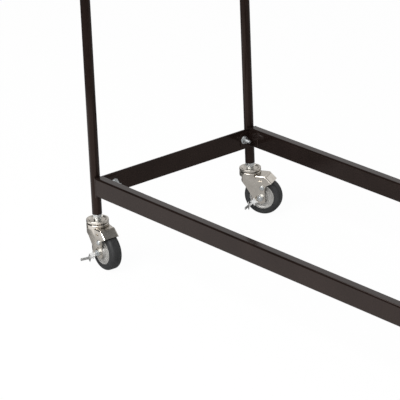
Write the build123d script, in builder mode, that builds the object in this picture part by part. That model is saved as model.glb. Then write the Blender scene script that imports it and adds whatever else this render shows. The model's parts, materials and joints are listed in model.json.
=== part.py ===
from build123d import *
import os
from math import cos, radians, sin

# Rolling clothes rack: two bent-tube end bows on four braked swivel casters, joined low down
# by a pair of rectangular rails that bolt to flat end bars, and at the top by one hang rail.
# Origin on the floor under the middle of the rack. X runs along the rails, -Y is the front.

os.makedirs("parts", exist_ok=True)

# ---------------------------------------------------------------- driving dimensions, mm
upright_spacing = 1498.6
upright_depth = 513.0
top_height = 1676.0
rail_top_height = 244.5

# round tube of the end bows and of the hang rail
tube_radius = 12.7
tube_wall = 1.5
bow_bend_radius = 100.0
hang_tube_radius = 12.7
hang_tube_wall = 1.5
plug_length = 26.0

# long rails, end bars and the angle brackets that join them
rail_width = 25.4
rail_height = 50.8
rail_wall = 1.6
rail_corner_radius = 4.4
end_bar_thickness = 4.8
end_bar_height = 53.0
end_bar_drop = 1.0
bracket_thickness = 2.5
bracket_height = 40.0
bracket_rail_leg = 32.0
bracket_edge_margin = 12.0
bracket_corner_radius = 8.0
front_bolt_inset = 46.0
back_bolt_inset = 34.0
bolt_drop = 26.7

# M8 fasteners
bolt_radius = 4.0
head_width = 13.0
head_height = 5.3
nut_height = 6.8
washer_radius = 11.0
washer_thickness = 1.6
corner_bolt_stand = 16.0
axle_bolt_stand = 2.0

# clearances
press_gap = 0.05
thread_gap = 0.03
running_gap = 0.06
bolt_gap = 0.4
race_gap = 0.3
side_gap = 0.3
notch_gap = 0.9

# caster: wheel
wheel_radius = 50.8
trail = 36.0
tread_width = 32.0
tread_round = 9.0
tyre_depth = 16.8
hub_rim_width = 3.6
hub_rim_inset = 1.4
hub_web_inset = 3.6
hub_dish_run = 3.0
hub_boss_radius = 11.0
hub_end_play = 0.5
axle_sleeve_radius = 6.0

# caster: swivel head, its ball race and its stem
wheel_head_room = 17.4
cap_radius = 29.0
cap_height = 6.5
cap_dish_depth = 2.8
cap_rim_width = 4.5
cap_edge_break = 1.0
crown_gap = 2.4
crown_thickness = 4.0
crown_depth = 9.0
race_inset = 7.5
ball_radius = 2.5
ball_count = 16
kingpin_radius = 10.0
kingpin_height = 7.0
shoulder_radius = 9.5
stem_radius = 6.0
stem_stand = 21.7
stem_reach = 45.0
sleeve_length = 48.0
lock_nut_width = 19.0
lock_nut_height = 10.0

# caster: fork legs
leg_side_room = 5.1
leg_thickness = 2.8
leg_flare_inset = 2.0
leg_bend_drop = 2.4
leg_bend_run = 20.0
leg_lead_inset = 6.0
leg_back_reach = 12.0
leg_back_drop = 3.4
leg_end_radius = 17.0

# caster: brake lever; pairs are (reach behind the axle, rise above it)
hood_wall = 2.5
hood_rise = 62.7
hood_front_reach = -11.5
hood_fold_reach = 14.0
hood_far_gap = 2.1
hood_flange = 6.0
hood_round = 4.0
hood_skirt_rise = 35.2
hood_groove_radius = 1.7
hood_groove_drop = 3.8
lip_gap = 2.1
lip_angle = 53.4
arm_end_rise = 15.2
finger_width = 12.0
finger_knee_offset = (-17.5, 6.2)
pivot_offset = (5.6, 29.2)
rivet_radius = 4.0
rivet_head_radius = 6.5
rivet_head_height = 3.6
rivet_dome = 2.9
rivet_foot_height = 1.4
slot_offset = (0.5, 48.7)
slot_length = 12.0
slot_width = 3.4

# caster: brake wing
wing_offset = (-15.5, -8.8)
wing_star_radius = 12.0
wing_star_waist = 4.8
wing_boss_radius = 5.5
wing_boss_length = 5.0
wing_strip_width = 6.0
wing_wall = 2.5
pad_offset = (-31.5, -22.3)
pad_star_radius = 11.5
pad_star_waist = 4.8
pad_tail_width = 6.5
pad_tail_length = 27.0
pad_tail_rise = 2.0
star_points = 4

# ---------------------------------------------------------------- places worked out from them
# frame
half_length = upright_spacing / 2
half_depth = upright_depth / 2
bow_top = top_height - tube_radius
bar_inner_face = half_length - tube_radius - end_bar_thickness
bar_middle = rail_top_height - end_bar_drop - end_bar_height / 2
rail_middle = rail_top_height - rail_height / 2
rail_inner_face = half_depth - rail_width / 2
bolt_height = rail_top_height - bolt_drop
bracket_face = end_bar_thickness + bracket_thickness
corner_bolt_length = bracket_face + washer_thickness + nut_height + corner_bolt_stand

# swivel head
race_height = 2 * wheel_radius + wheel_head_room
race_radius = cap_radius - race_inset
tube_end_height = race_height + stem_stand
stem_top = tube_end_height + stem_reach
crown_top = race_height - crown_gap / 2
crown_bottom = crown_top - crown_thickness
kingpin_top = crown_bottom - race_gap
cap_bottom = race_height + crown_gap / 2
cap_top = cap_bottom + cap_height
dish_floor = cap_top - cap_dish_depth

# wheel and fork
hub_radius = wheel_radius - tyre_depth
hub_groove = hub_radius - hub_rim_width
hub_rim_half = tread_width / 2 - hub_rim_inset
hub_web_half = tread_width / 2 - hub_web_inset
leg_inner = tread_width / 2 + leg_side_room
leg_outer = leg_inner + leg_thickness
hub_boss_half = leg_inner - hub_end_play
shoulder_top = crown_top - crown_depth
shoulder_under = shoulder_top - leg_thickness
leg_bend_high = shoulder_under - leg_bend_drop
leg_bend_low = leg_bend_high - leg_bend_run
leg_flare_top = cap_radius - leg_flare_inset
leg_back = trail + leg_back_reach
leg_bottom = wheel_radius - leg_end_radius

# brake lever and wing, by (distance behind the swivel axis, height)
hood_inner = leg_outer + side_gap
hood_outer = hood_inner + hood_wall
hood_far = leg_inner - hood_far_gap
hood_front = trail + hood_front_reach
hood_top = wheel_radius + hood_rise
hood_skirt = wheel_radius + hood_skirt_rise
arm_end = wheel_radius + arm_end_rise
wing_inner = hood_outer + wing_boss_length
wing_middle = wing_inner + wing_wall / 2
axle = (trail, wheel_radius)


def from_axle(offset):
    """Point this far behind the axle and above it."""
    return (trail + offset[0], wheel_radius + offset[1])


pivot = from_axle(pivot_offset)
finger_knee = from_axle(finger_knee_offset)
wing_centre = from_axle(wing_offset)
pad_centre = from_axle(pad_offset)

# the hood's back plate runs from its fold down to a lip just off the tyre
lip_radius = wheel_radius + lip_gap + hood_wall
lip = Vector(*from_axle((lip_radius * cos(radians(lip_angle)), lip_radius * sin(radians(lip_angle)))))
fold = Vector(trail + hood_fold_reach, hood_top)
back_plate = (lip - fold).normalized()
lip_inside = lip + Vector(back_plate.Y, -back_plate.X) * hood_wall
hood_under = hood_top - hood_wall
fold_inside = lip_inside - back_plate * ((lip_inside.Y - hood_under) / back_plate.Y)
beyond_lip = lip_inside + back_plate * cap_radius

ENDS = {"left": -1, "right": 1}
SIDES = {"front": -1, "back": 1}
# each caster's corner and the bearing in which its wheel trails, in degrees from +X
CASTERS = {
    "front_left": (-1, -1, -4.2),
    "back_left": (-1, 1, 29.2),
    "front_right": (1, -1, 209.2),
    "back_right": (1, 1, 175.8),
}


def level(corner, height):
    """Horizontal plane of a caster: local x along its trail, local y along its axle."""
    end, side, bearing = CASTERS[corner]
    origin = (end * half_length, side * half_depth, height)
    along = (cos(radians(bearing)), sin(radians(bearing)), 0)
    return Plane(origin=origin, x_dir=along, z_dir=(0, 0, 1))


def side_on(corner, offset=0.0):
    """Upright plane of a caster, seen from the brake's side: local x is the trail, local y is
    the height above the floor, and offset moves it out towards the wing."""
    base = level(corner, 0)
    return Plane(origin=base.origin, x_dir=base.x_dir, z_dir=-base.y_dir).offset(offset)


def end_on(corner, offset=0.0):
    """Upright plane across a caster: local x is along the axle, local y is the height."""
    base = level(corner, 0)
    return Plane(origin=base.origin, x_dir=base.y_dir, z_dir=base.x_dir).offset(offset)


def through_axle(corner):
    """Upright plane through a wheel's axle: local x is along the axle, local y its radius."""
    plane = end_on(corner, trail)
    return Plane(origin=plane.origin + (0, 0, wheel_radius), x_dir=plane.x_dir, z_dir=plane.z_dir)


def swivel_axis(corner):
    return Axis(level(corner, 0).origin, (0, 0, 1))


def axle_axis(corner):
    plane = through_axle(corner)
    return Axis(plane.origin, plane.x_dir)


def write(piece, label):
    piece.part.label = label
    export_step(piece.part, f"parts/{label}.step")


# ---------------------------------------------------------------- end bows
# One tube bent twice: an upright, the top and the other upright, open at both feet.
for end, sign in ENDS.items():
    bow_plane = Plane(origin=(sign * half_length, 0, 0), x_dir=(0, 1, 0), z_dir=(1, 0, 0))
    with BuildPart() as bow:
        with BuildLine(bow_plane) as bow_line:
            FilletPolyline(
                (-half_depth, tube_end_height),
                (-half_depth, bow_top),
                (half_depth, bow_top),
                (half_depth, tube_end_height),
                radius=bow_bend_radius,
            )
        with BuildSketch(Plane.XY.offset(tube_end_height)):
            with Locations((sign * half_length, -half_depth)):
                Circle(tube_radius)
                Circle(tube_radius - tube_wall, mode=Mode.SUBTRACT)
        sweep(path=bow_line.line)
        # through hole for the hang rail's bolt
        with BuildSketch(bow_plane):
            with Locations((0, bow_top)):
                Circle(bolt_radius + bolt_gap)
        extrude(amount=2 * tube_radius, both=True, mode=Mode.SUBTRACT)
    write(bow, f"{end}_end_bow")

# ---------------------------------------------------------------- end bars
# Flat bars welded across the inner sides of the two uprights, drilled for the corner bolts.
for end, sign in ENDS.items():
    with BuildPart() as end_bar:
        bar_plane = Plane(
            origin=(sign * bar_inner_face, 0, bar_middle), x_dir=(0, 1, 0), z_dir=(1, 0, 0)
        )
        with BuildSketch(bar_plane):
            Rectangle(upright_depth + 2 * tube_radius, end_bar_height)
            with Locations(
                (-half_depth + front_bolt_inset, bolt_height - bar_middle),
                (half_depth - back_bolt_inset, bolt_height - bar_middle),
            ):
                Circle(bolt_radius + bolt_gap, mode=Mode.SUBTRACT)
        extrude(amount=sign * end_bar_thickness)
    write(end_bar, f"{end}_end_bar")

# ---------------------------------------------------------------- long rails
# Closed rectangular tubes on edge, butting on the end bars' inner faces.
for side, sign in SIDES.items():
    rail_plane = Plane(
        origin=(0, sign * half_depth, rail_middle), x_dir=(0, 1, 0), z_dir=(1, 0, 0)
    )
    with BuildPart() as rail:
        with BuildSketch(rail_plane):
            RectangleRounded(rail_width, rail_height, rail_corner_radius)
            RectangleRounded(
                rail_width - 2 * rail_wall,
                rail_height - 2 * rail_wall,
                rail_corner_radius - rail_wall,
                mode=Mode.SUBTRACT,
            )
        extrude(amount=bar_inner_face, both=True)
    write(rail, f"{side}_rail")

# ---------------------------------------------------------------- corner brackets
# Angle irons: one leg welded along the rail's inner face, the other bolted to the end bar.
bolt_insets = {"front": front_bolt_inset, "back": back_bolt_inset}
corner_places = [(end_sign, side) for end_sign in ENDS.values() for side in SIDES]
with BuildPart() as corner_brackets:
    for end_sign, side in corner_places:
        knee = Vector(end_sign * bar_inner_face, SIDES[side] * rail_inner_face)
        rail_way = Vector(-end_sign, 0)
        bar_way = Vector(0, -SIDES[side])
        rail_leg = rail_way * bracket_rail_leg
        bar_leg = bar_way * (bolt_insets[side] - rail_width / 2 + bracket_edge_margin)
        with BuildSketch(Plane.XY.offset(bolt_height - bracket_height / 2)):
            with BuildLine():
                Polyline(
                    knee,
                    knee + rail_leg,
                    knee + rail_leg + bar_way * bracket_thickness,
                    knee + (rail_way + bar_way) * bracket_thickness,
                    knee + bar_leg + rail_way * bracket_thickness,
                    knee + bar_leg,
                    close=True,
                )
            make_face()
        extrude(amount=bracket_height)
        hole_y = SIDES[side] * (half_depth - bolt_insets[side])
        with BuildSketch(Plane(origin=(knee.X, hole_y, bolt_height), x_dir=(0, 1, 0), z_dir=(1, 0, 0))):
            Circle(bolt_radius + bolt_gap)
        extrude(amount=2 * bracket_thickness, both=True, mode=Mode.SUBTRACT)
    level_edges = corner_brackets.edges().filter_by(Axis.X) + corner_brackets.edges().filter_by(Axis.Y)
    fillet(
        level_edges.filter_by(lambda edge: edge.length < 1.5 * bracket_thickness),
        bracket_corner_radius,
    )
write(corner_brackets, "corner_brackets")


def corner_bolt_plane(end_sign, side, distance):
    """Plane square to a corner bolt, this far inwards of the end bar's outer face."""
    x = end_sign * (bar_inner_face + end_bar_thickness - distance)
    y = SIDES[side] * (half_depth - bolt_insets[side])
    return Plane(origin=(x, y, bolt_height), x_dir=(0, 1, 0), z_dir=(-end_sign, 0, 0))


# hex bolts, heads outside
with BuildPart() as corner_bolts:
    for end_sign, side in corner_places:
        with BuildSketch(corner_bolt_plane(end_sign, side, 0)):
            RegularPolygon(head_width / 2, 6, major_radius=False)
        extrude(amount=-head_height)
        with BuildSketch(corner_bolt_plane(end_sign, side, 0)):
            Circle(bolt_radius)
        extrude(amount=corner_bolt_length)
write(corner_bolts, "corner_bolts")

# washers on the brackets
with BuildPart() as corner_washers:
    for end_sign, side in corner_places:
        with BuildSketch(corner_bolt_plane(end_sign, side, bracket_face)):
            Circle(washer_radius)
            Circle(bolt_radius + bolt_gap, mode=Mode.SUBTRACT)
        extrude(amount=washer_thickness)
write(corner_washers, "corner_washers")

# nuts, with the bolt ends standing proud
with BuildPart() as corner_nuts:
    for end_sign, side in corner_places:
        with BuildSketch(corner_bolt_plane(end_sign, side, bracket_face + washer_thickness)):
            RegularPolygon(head_width / 2, 6, major_radius=False)
            Circle(bolt_radius + thread_gap, mode=Mode.SUBTRACT)
        extrude(amount=nut_height)
write(corner_nuts, "corner_nuts")

# ---------------------------------------------------------------- hang rail
# Round tube whose ends are coped to the bows, with a threaded plug in each end.
with BuildPart() as hang_rail:
    with BuildSketch(Plane.YZ):
        with Locations((0, bow_top)):
            Circle(hang_tube_radius)
            Circle(hang_tube_radius - hang_tube_wall, mode=Mode.SUBTRACT)
    extrude(amount=half_length, both=True)
    with BuildSketch(Plane.XZ):
        with Locations((-half_length, bow_top), (half_length, bow_top)):
            Circle(tube_radius + press_gap)
    extrude(amount=2 * tube_radius, both=True, mode=Mode.SUBTRACT)
write(hang_rail, "hang_rail")


def hang_bolt_plane(end_sign, distance):
    """Plane square to a hang rail bolt, this far inwards of the bow's outermost line."""
    x = end_sign * (half_length + tube_radius - distance)
    return Plane(origin=(x, 0, bow_top), x_dir=(0, 1, 0), z_dir=(-end_sign, 0, 0))


with BuildPart() as hang_rail_plugs:
    for end_sign in ENDS.values():
        with BuildSketch(hang_bolt_plane(end_sign, 2 * tube_radius + press_gap)):
            Circle(hang_tube_radius - hang_tube_wall - press_gap)
            Circle(bolt_radius + thread_gap, mode=Mode.SUBTRACT)
        extrude(amount=plug_length)
write(hang_rail_plugs, "hang_rail_plugs")

with BuildPart() as hang_rail_bolts:
    for end_sign in ENDS.values():
        with BuildSketch(hang_bolt_plane(end_sign, 0)):
            RegularPolygon(head_width / 2, 6, major_radius=False)
        extrude(amount=-head_height)
        with BuildSketch(hang_bolt_plane(end_sign, 0)):
            Circle(bolt_radius)
        extrude(amount=2 * tube_radius + plug_length)
write(hang_rail_bolts, "hang_rail_bolts")

# ---------------------------------------------------------------- caster stems in the uprights
# threaded sleeves pressed into the tube feet
with BuildPart() as stem_sleeves:
    for corner in CASTERS:
        with BuildSketch(level(corner, tube_end_height)):
            Circle(tube_radius - tube_wall - press_gap)
            Circle(stem_radius + thread_gap, mode=Mode.SUBTRACT)
        extrude(amount=sleeve_length)
write(stem_sleeves, "stem_sleeves")

# lock nuts against the tube feet
with BuildPart() as stem_lock_nuts:
    for corner in CASTERS:
        with BuildSketch(level(corner, tube_end_height - lock_nut_height)):
            RegularPolygon(lock_nut_width / 2, 6, major_radius=False)
            Circle(stem_radius + thread_gap, mode=Mode.SUBTRACT)
        extrude(amount=lock_nut_height)
write(stem_lock_nuts, "stem_lock_nuts")

# stems: a headed kingpin below the fork, a round shoulder on the cap, then the thread
with BuildPart() as caster_stems:
    for corner in CASTERS:
        with BuildSketch(side_on(corner)):
            with BuildLine():
                Polyline(
                    (0, kingpin_top - kingpin_height),
                    (kingpin_radius, kingpin_top - kingpin_height),
                    (kingpin_radius, kingpin_top),
                    (stem_radius, kingpin_top),
                    (stem_radius, dish_floor),
                    (shoulder_radius, dish_floor),
                    (shoulder_radius, tube_end_height - lock_nut_height),
                    (stem_radius, tube_end_height - lock_nut_height),
                    (stem_radius, stem_top),
                    (0, stem_top),
                    close=True,
                )
            make_face()
        revolve(axis=swivel_axis(corner))
write(caster_stems, "caster_stems")

# dished caps: the still upper halves of the ball races
with BuildPart() as swivel_caps:
    for corner in CASTERS:
        with BuildSketch(side_on(corner)):
            with BuildLine():
                Polyline(
                    (stem_radius + press_gap, dish_floor),
                    (cap_radius - 2 * cap_rim_width, dish_floor),
                    (cap_radius - cap_rim_width, cap_top),
                    (cap_radius - cap_edge_break, cap_top),
                    (cap_radius, cap_top - cap_edge_break),
                    (cap_radius, cap_bottom),
                    (stem_radius + press_gap, cap_bottom),
                    close=True,
                )
            make_face()
            with Locations((race_radius, race_height)):
                Circle(ball_radius + race_gap, mode=Mode.SUBTRACT)
        revolve(axis=swivel_axis(corner))
write(swivel_caps, "swivel_caps")

# ---------------------------------------------------------------- casters
def star(radius, waist):
    """Corners of a flat star, its first point straight up."""
    corners = []
    for step in range(2 * star_points):
        reach = waist if step % 2 else radius
        angle = radians(90 + 180 * step / star_points)
        corners.append((reach * cos(angle), reach * sin(angle)))
    return corners


for corner in CASTERS:

    # pressed fork: a round crown, then two legs that step in to the wheel's width
    with BuildPart() as fork:
        with BuildSketch(level(corner, leg_bottom)):
            with BuildLine():
                CenterArc((0, 0), cap_radius, 90, 180)
                Polyline(
                    (0, -cap_radius),
                    (hood_front - side_gap, -leg_outer),
                    (leg_back, -leg_outer),
                    (leg_back, leg_outer),
                    (hood_front - side_gap, leg_outer),
                    (0, cap_radius),
                )
            make_face()
        extrude(amount=shoulder_top - leg_bottom)
        # outline of the legs from the side
        with BuildSketch(side_on(corner)):
            with BuildLine():
                Polyline(
                    (-cap_radius, shoulder_top),
                    (leg_lead_inset - cap_radius, leg_bend_high),
                    (trail - leg_end_radius, wheel_radius - leg_end_radius / 2),
                    axle,
                    (leg_back, wheel_radius + leg_end_radius / 2),
                    (leg_back, shoulder_under - leg_back_drop),
                    (cap_radius, shoulder_under),
                    (cap_radius, shoulder_top),
                    close=True,
                )
            make_face()
            with Locations(axle):
                Circle(leg_end_radius)
        extrude(amount=2 * cap_radius, both=True, mode=Mode.INTERSECT)
        # outline from behind: the legs step in below the crown
        with BuildSketch(end_on(corner)):
            with BuildLine():
                outer_step = Polyline(
                    (0, shoulder_top),
                    (cap_radius, shoulder_top),
                    (leg_flare_top, leg_bend_high),
                    (leg_outer, leg_bend_low),
                    (leg_outer, 0),
                    (0, 0),
                )
                mirror(outer_step, about=Plane.YZ)
            make_face()
        extrude(amount=3 * cap_radius, both=True, mode=Mode.INTERSECT)
        # room for the wheel, open in front, behind and above the wheel's back
        with BuildSketch(end_on(corner)):
            with BuildLine():
                inner_step = Polyline(
                    (0, shoulder_under),
                    (leg_flare_top - leg_thickness, shoulder_under),
                    (leg_flare_top - leg_thickness, leg_bend_high),
                    (leg_inner, leg_bend_low),
                    (leg_inner, 0),
                    (0, 0),
                )
                mirror(inner_step, about=Plane.YZ)
            make_face()
        extrude(amount=3 * cap_radius, both=True, mode=Mode.SUBTRACT)
        # crown with its skirt, hollow below, then its race and kingpin hole
        with BuildSketch(level(corner, shoulder_top)):
            Circle(cap_radius)
        extrude(amount=crown_depth)
        with BuildSketch(level(corner, shoulder_under)):
            Circle(cap_radius - leg_thickness)
        extrude(amount=crown_bottom - shoulder_under, mode=Mode.SUBTRACT)
        with BuildSketch(level(corner, crown_bottom)):
            Circle(stem_radius + running_gap)
        extrude(amount=crown_thickness, mode=Mode.SUBTRACT)
        with BuildSketch(side_on(corner)):
            with Locations((race_radius, race_height)):
                Circle(ball_radius + race_gap)
        revolve(axis=swivel_axis(corner), mode=Mode.SUBTRACT)
        # holes for the axle and, in one leg, the brake's rivet
        with BuildSketch(side_on(corner)):
            with Locations(axle):
                Circle(bolt_radius + thread_gap)
        extrude(amount=2 * cap_radius, both=True, mode=Mode.SUBTRACT)
        with BuildSketch(side_on(corner)):
            with Locations(pivot):
                Circle(rivet_radius + thread_gap)
        extrude(amount=2 * cap_radius, mode=Mode.SUBTRACT)
    write(fork, f"{corner}_fork")

    # balls between the crown and the cap
    with BuildPart() as swivel_balls:
        with Locations(level(corner, race_height)):
            with PolarLocations(race_radius, ball_count):
                Sphere(ball_radius)
    write(swivel_balls, f"{corner}_swivel_balls")

    # axle bolt, its nut, and the sleeve that keeps the legs apart and carries the hub
    with BuildPart() as axle_bolt:
        with BuildSketch(side_on(corner, -leg_outer)):
            with Locations(axle):
                RegularPolygon(head_width / 2, 6, major_radius=False)
        extrude(amount=-head_height)
        with BuildSketch(side_on(corner, -leg_outer)):
            with Locations(axle):
                Circle(bolt_radius)
        extrude(amount=2 * leg_outer + nut_height + axle_bolt_stand)
    write(axle_bolt, f"{corner}_axle_bolt")

    with BuildPart() as axle_nut:
        with BuildSketch(side_on(corner, leg_outer)):
            with Locations(axle):
                RegularPolygon(head_width / 2, 6, major_radius=False)
                Circle(bolt_radius + thread_gap, mode=Mode.SUBTRACT)
        extrude(amount=nut_height)
    write(axle_nut, f"{corner}_axle_nut")

    with BuildPart() as axle_sleeve:
        with BuildSketch(side_on(corner)):
            with Locations(axle):
                Circle(axle_sleeve_radius)
                Circle(bolt_radius + press_gap, mode=Mode.SUBTRACT)
        extrude(amount=leg_inner, both=True)
    write(axle_sleeve, f"{corner}_axle_sleeve")

    # rivet on which the brake lever rocks, through the leg on its side, with a domed head
    with BuildPart() as brake_rivet:
        with BuildSketch(side_on(corner, leg_inner - rivet_foot_height)):
            with Locations(pivot):
                Circle(rivet_head_radius)
        extrude(amount=rivet_foot_height)
        with BuildSketch(side_on(corner, leg_inner)):
            with Locations(pivot):
                Circle(rivet_radius)
        extrude(amount=hood_outer + side_gap - leg_inner)
        with BuildSketch(side_on(corner, hood_outer + side_gap)):
            with Locations(pivot):
                Circle(rivet_head_radius)
        extrude(amount=rivet_head_height)
        head_top = side_on(corner, hood_outer + side_gap + rivet_head_height)
        head_centre = head_top.from_local_coords(pivot)
        fillet(brake_rivet.faces().sort_by_distance(head_centre)[0].edges(), rivet_dome)
    write(brake_rivet, f"{corner}_brake_rivet")

    # wheel: a tyre with a rounded tread on a dished hub
    with BuildPart() as tyre:
        with BuildSketch(through_axle(corner)):
            with Locations((0, (hub_radius + wheel_radius) / 2)):
                tread = Rectangle(tread_width, wheel_radius - hub_radius)
            fillet(tread.vertices().group_by(Axis.Y)[-1], tread_round)
        revolve(axis=axle_axis(corner))
    write(tyre, f"{corner}_tyre")

    with BuildPart() as wheel_hub:
        with BuildSketch(through_axle(corner)):
            with BuildLine():
                Polyline(
                    (hub_boss_half, axle_sleeve_radius + running_gap),
                    (hub_boss_half, hub_boss_radius),
                    (hub_web_half, hub_boss_radius + hub_dish_run),
                    (hub_web_half, hub_groove - hub_dish_run),
                    (hub_rim_half, hub_groove),
                    (hub_rim_half, hub_radius - press_gap),
                    (-hub_rim_half, hub_radius - press_gap),
                    (-hub_rim_half, hub_groove),
                    (-hub_web_half, hub_groove - hub_dish_run),
                    (-hub_web_half, hub_boss_radius + hub_dish_run),
                    (-hub_boss_half, hub_boss_radius),
                    (-hub_boss_half, axle_sleeve_radius + running_gap),
                    close=True,
                )
            make_face()
        revolve(axis=axle_axis(corner))
    write(wheel_hub, f"{corner}_wheel_hub")

    # brake lever: a hood over the wheel's back, with a short flange on its far side and an arm
    # down the near leg, from which a finger passes in front of the axle nut
    with BuildPart() as brake_lever:
        with BuildSketch(side_on(corner, hood_outer)):
            with BuildLine():
                Polyline(
                    (hood_front, arm_end),
                    (hood_front, hood_top),
                    fold,
                    lip,
                    lip_inside,
                    (fold.X + hood_wall, hood_skirt),
                    (leg_back, pivot[1] - rivet_head_radius),
                    (leg_back, arm_end),
                    close=True,
                )
            make_face()
        extrude(amount=-(hood_outer + hood_far))
        bends = brake_lever.edges().filter_by(side_on(corner))
        bends = bends.filter_by_position(Axis.Z, lip.Y, hood_top)
        fillet(bends, hood_round)
        with BuildSketch(side_on(corner, hood_inner)):
            with BuildLine():
                Polyline(
                    (0, 0),
                    (0, hood_under),
                    fold_inside,
                    beyond_lip,
                    (beyond_lip.X, 0),
                    close=True,
                )
            make_face()
        extrude(amount=hood_wall - hood_inner - hood_far, mode=Mode.SUBTRACT)
        # the far wall is only a flange, and stops short of the crown
        flange_drop = Vector(-hood_flange, -hood_flange)
        with BuildSketch(side_on(corner)):
            with BuildLine():
                Polyline(
                    (0, 0),
                    (0, hood_under),
                    (cap_radius + notch_gap, hood_under),
                    (cap_radius + notch_gap, hood_under + flange_drop.Y),
                    fold_inside + flange_drop,
                    beyond_lip + flange_drop,
                    (beyond_lip.X, 0),
                    close=True,
                )
            make_face()
        extrude(amount=-2 * hood_far, mode=Mode.SUBTRACT)
        # round notch that clears the crown and the cap
        with BuildSketch(level(corner, shoulder_under)):
            Circle(cap_radius + notch_gap)
        extrude(amount=cap_radius, mode=Mode.SUBTRACT)
        # groove pressed across the back plate, just past the fold
        with BuildSketch(side_on(corner)):
            with Locations(fold + back_plate * hood_groove_drop):
                Circle(hood_groove_radius)
        extrude(amount=2 * cap_radius, both=True, mode=Mode.SUBTRACT)
        # finger on the arm
        with BuildSketch(side_on(corner, hood_inner)):
            with BuildLine():
                Polyline(pivot, finger_knee, wing_centre)
            trace(line_width=finger_width)
            with Locations(wing_centre, finger_knee):
                Circle(finger_width / 2)
            with Locations(pivot):
                Circle(leg_back - pivot[0])
        extrude(amount=hood_wall)
        with BuildSketch(side_on(corner)):
            with Locations(pivot):
                Circle(rivet_radius + running_gap)
            with Locations(from_axle(slot_offset)):
                SlotOverall(slot_length, slot_width)
        extrude(amount=2 * cap_radius, mode=Mode.SUBTRACT)
    write(brake_lever, f"{corner}_brake_lever")

    # thumb wing on the finger: a star plate, a strip forwards and down, and a star pad with a
    # tail, bent square to it so that it stands out sideways
    with BuildPart() as brake_wing:
        with BuildSketch(side_on(corner, hood_outer)):
            with Locations(wing_centre):
                Circle(wing_boss_radius)
        extrude(amount=wing_boss_length)
        with BuildSketch(side_on(corner, wing_inner)):
            with Locations(wing_centre):
                Polygon(*star(wing_star_radius, wing_star_waist), align=None)
            with BuildLine():
                Polyline(wing_centre, pad_centre)
            trace(line_width=wing_strip_width)
        extrude(amount=wing_wall)
        with BuildSketch(end_on(corner, pad_centre[0] - wing_wall / 2)):
            with Locations((-wing_middle, pad_centre[1])):
                Polygon(*star(pad_star_radius, pad_star_waist), align=None)
            with BuildLine():
                Polyline(
                    (-wing_middle, pad_centre[1]),
                    (-wing_middle - pad_tail_length, pad_centre[1] + pad_tail_rise),
                )
            trace(line_width=pad_tail_width)
        extrude(amount=wing_wall)
    write(brake_wing, f"{corner}_brake_wing")
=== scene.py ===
import json
from math import ceil, cos, pi, radians, sin

import bmesh
import bpy
from mathutils import Matrix, Vector


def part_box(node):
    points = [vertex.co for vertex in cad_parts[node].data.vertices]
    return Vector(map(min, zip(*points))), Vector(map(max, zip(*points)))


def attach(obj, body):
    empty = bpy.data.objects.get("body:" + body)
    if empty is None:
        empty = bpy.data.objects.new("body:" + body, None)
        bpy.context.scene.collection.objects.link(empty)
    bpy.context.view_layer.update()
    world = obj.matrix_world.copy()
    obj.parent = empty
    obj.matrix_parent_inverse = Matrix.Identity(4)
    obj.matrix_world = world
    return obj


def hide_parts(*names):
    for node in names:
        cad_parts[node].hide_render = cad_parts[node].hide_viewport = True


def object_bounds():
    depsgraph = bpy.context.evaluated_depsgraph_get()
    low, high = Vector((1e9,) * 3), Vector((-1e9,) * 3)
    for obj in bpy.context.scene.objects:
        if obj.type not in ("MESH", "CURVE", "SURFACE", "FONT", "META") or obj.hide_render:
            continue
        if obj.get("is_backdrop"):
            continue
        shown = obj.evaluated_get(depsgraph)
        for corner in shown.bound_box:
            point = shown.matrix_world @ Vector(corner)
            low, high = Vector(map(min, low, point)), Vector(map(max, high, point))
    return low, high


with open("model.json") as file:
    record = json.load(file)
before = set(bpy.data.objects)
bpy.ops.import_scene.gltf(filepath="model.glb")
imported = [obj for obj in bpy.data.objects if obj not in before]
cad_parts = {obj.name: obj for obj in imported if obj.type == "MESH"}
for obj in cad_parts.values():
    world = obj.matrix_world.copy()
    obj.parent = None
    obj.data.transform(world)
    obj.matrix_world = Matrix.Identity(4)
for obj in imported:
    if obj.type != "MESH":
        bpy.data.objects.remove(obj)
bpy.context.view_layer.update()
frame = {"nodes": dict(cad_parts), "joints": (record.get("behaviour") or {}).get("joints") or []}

# Rolling clothes rack: the looks of every piece, put together from the frame down to the
# casters. Lengths are in metres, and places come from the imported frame.
nodes = frame["nodes"]

# ---------------------------------------------------------------- camera
# A long lens 2.6 m up, off the front right corner, looks down at the left casters and leans a
# little to one side. Azimuth and elevation give the way from the rack to the camera.
CAMERA_PLACE = (4.1831, -3.8788, 2.6014)
CAMERA_AZIMUTH = radians(51.244)
CAMERA_ELEVATION = radians(21.723)
CAMERA_ROLL = radians(-2.371)
CAMERA_LENS = 233.0
CAMERA_SENSOR = 36.0
CAMERA_SIGHT = 100.0


def bearing(azimuth, elevation):
    """Unit vector away from the rack: azimuth 0 is to its front, and grows towards its right."""
    level = cos(elevation)
    return Vector((sin(azimuth) * level, -cos(azimuth) * level, sin(elevation)))


back = bearing(CAMERA_AZIMUTH, CAMERA_ELEVATION)
turn = back.to_track_quat("Z", "Y").to_matrix() @ Matrix.Rotation(CAMERA_ROLL, 3, "Z")
camera_data = bpy.data.cameras.new("camera")
camera_data.lens = CAMERA_LENS
camera_data.sensor_width = CAMERA_SENSOR
camera_data.clip_end = CAMERA_SIGHT
camera = bpy.data.objects.new("camera", camera_data)
camera.matrix_world = Matrix.Translation(CAMERA_PLACE) @ turn.to_4x4()
bpy.context.scene.collection.objects.link(camera)
bpy.context.scene.camera = camera
bpy.context.scene.view_settings.view_transform = "Standard"

# ---------------------------------------------------------------- floor and light
# A white floor and a white backdrop behind the rack, lit by large soft panels. Polished metal
# and paint mirror a floor with a painted pool of light in front of the rack and painted shade
# under and beside it, and a dim room with a white screen beside the camera.
FLOOR_HALF = 30.0
FLOOR_WHITE = (0.86, 0.86, 0.86, 1)
FLOOR_GLOW = 0.96
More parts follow.
